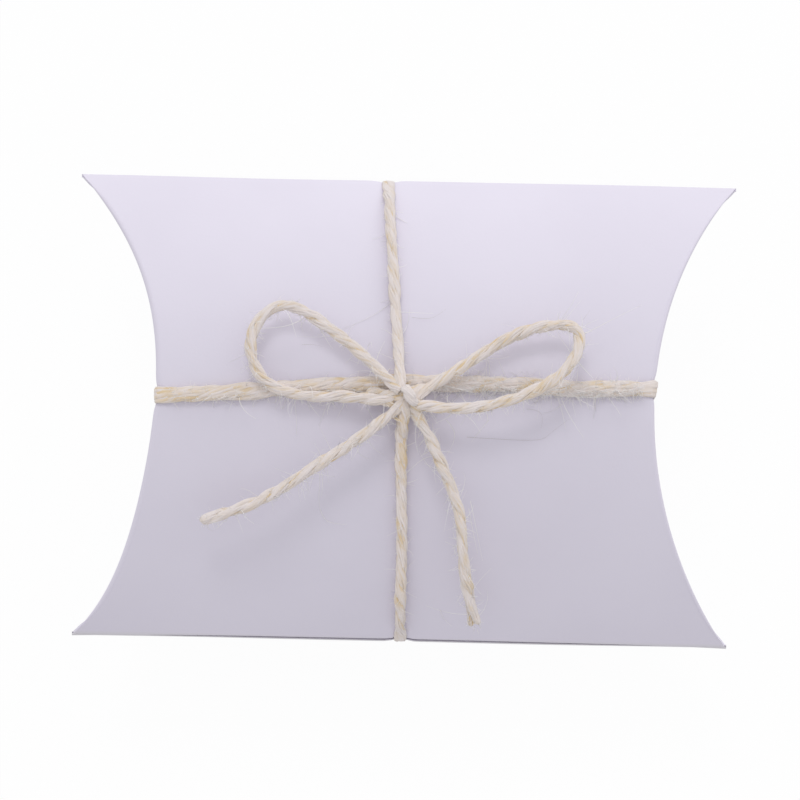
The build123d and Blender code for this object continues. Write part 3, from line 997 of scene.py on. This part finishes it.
# Stray fibres: fine hairs that stand off the twine all along, as jute sheds them. They bend at random,
# and none goes into the card below. Each line of twine has its thickness and its numbers of long and of
# short hairs.
hair_end_x = 31.5
hair_end_y = 30.0
edge_x = 29.0
edge_y = 28.0
edge_hair = 0.8
hair_lift = 0.12
right_front = (long_wrap_line[:, 0] > 4.0 * mm) & (long_wrap_line[:, 2] > crest * mm)
hair_lines = (
    (long_wrap_line, 2.0, 200, 2800),
    (long_wrap_line[right_front], 2.0, 150, 1500),
    (girth_line, 1.5, 60, 700),
    (bow_lines["left_loop"], 1.6, 60, 600),
    (bow_lines["right_loop"], 1.6, 60, 600),
    (bow_lines["left_tail"], 1.6, 45, 400),
    (bow_lines["right_tail"], 1.6, 60, 500),
)


def hairs_on(line, diameter, count, steps, longest, lean, clear):
    """Hairs from a line, each a row of points: out of the twine at a slant, then bent by the square of
    the distance along it towards a random side, and curled by its cube towards another. Lean is how much
    more they run along the twine than away from it, and clear is how far out they start, as a share of
    the diameter."""
    centre, distance = along_line(line, 0.2 * mm)
    tangent = unit(np.gradient(centre, distance, axis=0))
    shown = (np.abs(centre[:, 0]) < hair_end_x * mm) & (np.abs(centre[:, 1]) < hair_end_y * mm)
    pick = rng.choice(np.flatnonzero(shown), count)
    away = rng.normal(size=(count, 3)) + np.array([0.0, -0.7, 0.0])
    away = unit(away - np.sum(away * tangent[pick], axis=1, keepdims=True) * tangent[pick])
    heading = unit(away + lean * rng.normal(size=(count, 1)) * tangent[pick])
    length = longest * np.clip(rng.gamma(2.0, 0.2, (count, 1)), 0.12, 1.0) * mm
    at_edge = (np.abs(centre[pick, 0]) > edge_x * mm) | (np.abs(centre[pick, 1]) > edge_y * mm)
    hidden = centre[pick, 2] < mid_plane * mm
    length = np.where((at_edge | hidden)[:, None], np.minimum(length, edge_hair * mm), length)
    bend = rng.normal(size=(count, 3)) * rng.uniform(0.1, 0.7, (count, 1))
    curl = rng.normal(size=(count, 3)) * rng.uniform(0.0, 0.6, (count, 1))
    share = np.linspace(0.0, 1.0, steps)[None, :, None]
    root = centre[pick] + away * clear * diameter * mm
    return root[:, None, :] + length[:, None, :] * (
        heading[:, None, :] * share + bend[:, None, :] * share**2 + curl[:, None, :] * share**3
    )


def hair_piece(name, hairs, thickness, material):
    """Three-sided hairs that taper to their tips, in one mesh. Hairs are rows of points in metres."""
    sides = 3
    count, steps = hairs.shape[:2]
    along = unit(np.gradient(hairs, axis=1))
    side = unit(np.cross(along, np.array([0.31, 0.57, 0.76])))
    up = np.cross(side, along)
    around = np.arange(sides) * 2 * math.pi / sides
    taper = thickness[:, None] * np.linspace(1.0, 0.35, steps)[None, :]
    ring = hairs[:, :, None, :] + taper[:, :, None, None] * (
        np.cos(around)[None, None, :, None] * side[:, :, None, :]
        + np.sin(around)[None, None, :, None] * up[:, :, None, :]
    )
    walls, ends = tube_faces(count, steps, sides)
    return smooth_piece(name, ring.reshape(-1, 3), walls.tolist() + ends.tolist(), material)


def above_card(hairs):
    """The same hairs, lifted to just over the front panel wherever they would go into it."""
    lifted = hairs.copy()
    y = np.clip(hairs[..., 1] / mm, -half_width, half_width)
    floor = (mid_plane + panel_rise(y) + hair_lift) * mm
    upper = hairs[..., 2] > mid_plane * mm
    lifted[..., 2] = np.where(upper, np.maximum(hairs[..., 2], floor), np.maximum(hairs[..., 2], 0.0))
    return lifted


def fibre_look(name, darker, paler):
    """Single jute fibres, whose tone wanders between two colours from place to place."""
    material = bpy.data.materials.new(name)
    material.use_nodes = True
    tree = material.node_tree
    surface = tree.nodes["Principled BSDF"]
    surface.inputs["Roughness"].default_value = 0.5
    spot = tree.nodes.new("ShaderNodeTexCoord")
    shade = tree.nodes.new("ShaderNodeTexNoise")
    shade.inputs["Scale"].default_value = 300.0
    tone = tree.nodes.new("ShaderNodeValToRGB")
    tone.color_ramp.elements[0].color = darker
    tone.color_ramp.elements[1].color = paler
    tree.links.new(spot.outputs["Object"], shade.inputs["Vector"])
    tree.links.new(shade.outputs["Fac"], tone.inputs["Fac"])
    tree.links.new(tone.outputs["Color"], surface.inputs["Base Color"])
    return material


long_hairs = np.concatenate(
    [
        hairs_on(line, thick, count, steps=8, longest=4.0, lean=1.0, clear=0.34)
        for line, thick, count, _ in hair_lines
    ]
)
short_hairs = np.concatenate(
    [
        hairs_on(line, thick, count, steps=4, longest=1.5, lean=1.6, clear=0.38)
        for line, thick, _, count in hair_lines
    ]
)
fibre_white = fibre_look("pale jute fibre", (0.94, 0.91, 0.88, 1.0), (1.0, 0.99, 0.99, 1.0))
for name, hairs, thinnest, thickest in (
    ("stray_fibres", long_hairs, 0.028, 0.055),
    ("twine_fuzz", short_hairs, 0.024, 0.046),
):
    thickness = rng.uniform(thinnest, thickest, len(hairs)) * mm
    fibres = hair_piece(name, above_card(hairs), thickness, fibre_white)
    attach(fibres, "tie")

# Shed hairs: a few long fibres that came off the twine. Pale ones trail from the bow down to the front
# panel, and thin dark ones lie about on it, which are partly dark fibres and partly painted shadows of
# hairs lying on the panel.
shed_hairs = {
    "pale": (
        0.040,
        [
            [(-4.8, -2.6, 2.6), (-4.7, -3.9, 1.4), (-4.0, -5.0, 0.5), (-2.5, -5.9, 0.2)],
            [(-11.0, -8.3, 3.0), (-10.9, -10.0, 2.0), (-11.2, -11.6, 0.9), (-10.9, -13.5, 0.3)],
            [(-10.9, -13.3, 0.3), (-10.4, -14.8, 0.2), (-8.8, -15.2, 0.2), (-7.3, -15.3, 0.2)],
            [(-10.8, -8.1, 3.0), (-10.4, -9.3, 2.4), (-10.7, -11.5, 2.2)],
            [(11.2, -0.9, 1.6), (10.1, -2.2, 1.4), (9.0, -3.8, 1.2)],
            [(-12.8, 1.2, 1.6), (-12.1, 0.1, 1.2), (-11.2, -0.9, 1.0)],
            [(-9.7, 1.6, 1.6), (-9.2, 0.8, 1.2), (-9.3, -0.1, 1.0)],
            [(9.7, 8.3, 3.2), (9.4, 6.9, 2.4), (9.1, 5.5, 1.6)],
            [(5.6, -1.0, 2.0), (6.9, -2.3, 1.6), (6.6, -4.3, 1.0), (5.8, -5.6, 0.4)],
            [(9.0, -11.6, 3.4), (9.7, -14.3, 3.0), (10.9, -19.7, 2.4)],
            [(8.8, -12.6, 3.4), (9.4, -15.3, 2.6), (10.2, -18.7, 2.2)],
            [(5.5, -26.9, 0.3), (5.9, -28.4, 0.2), (7.2, -29.2, 0.2)],
        ],
    ),
    "dark": (
        0.018,
        [
            [(0.8, 12.6, 0.2), (2.4, 12.4, 0.15), (4.0, 12.7, 0.15), (5.3, 13.8, 0.3)],
            [(23.4, 12.7, 2.8), (23.9, 13.3, 2.2), (24.4, 14.0, 1.6)],
            [
                (8.4, -3.2, 0.3),
                (12.8, -3.4, 0.15),
                (18.4, -3.5, 0.15),
                (19.6, -2.3, 0.15),
                (22.4, -0.1, 0.3),
            ],
            [(16.2, 0.7, 0.3), (17.6, 0.7, 0.15), (18.6, -0.3, 0.15), (18.2, -1.7, 0.2)],
            [(-13.8, 8.6, 0.2), (-12.4, 8.8, 0.15), (-11.0, 8.4, 0.2)],
        ],
    ),
}
# Partly painted shadow: the thin dark lines on the panel stand for dark fibres and for the shadows of
# hairs lying on it.
dark_fibre_and_shadow = fibre_look("dark jute fibre and hair shadow", (0.42, 0.38, 0.36, 1.0), (0.55, 0.51, 0.50, 1.0))
for look, (thickness, routes) in shed_hairs.items():
    shed = []
    for route in routes:
        hair_route = np.array(route)
        hair_route[:, 2] += mid_plane + panel_rise(hair_route[:, 1])
        hair_line = smooth_line("shed_hair_line", hair_route * mm)
        shed.append(hair_line[np.linspace(0, len(hair_line) - 1, 16).astype(int)])
    thicknesses = np.full(len(shed), thickness * mm)
    fibre = fibre_white if look == "pale" else dark_fibre_and_shadow
    shed_piece = hair_piece(f"shed_hairs_{look}", np.stack(shed), thicknesses, fibre)
    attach(shed_piece, "tie")
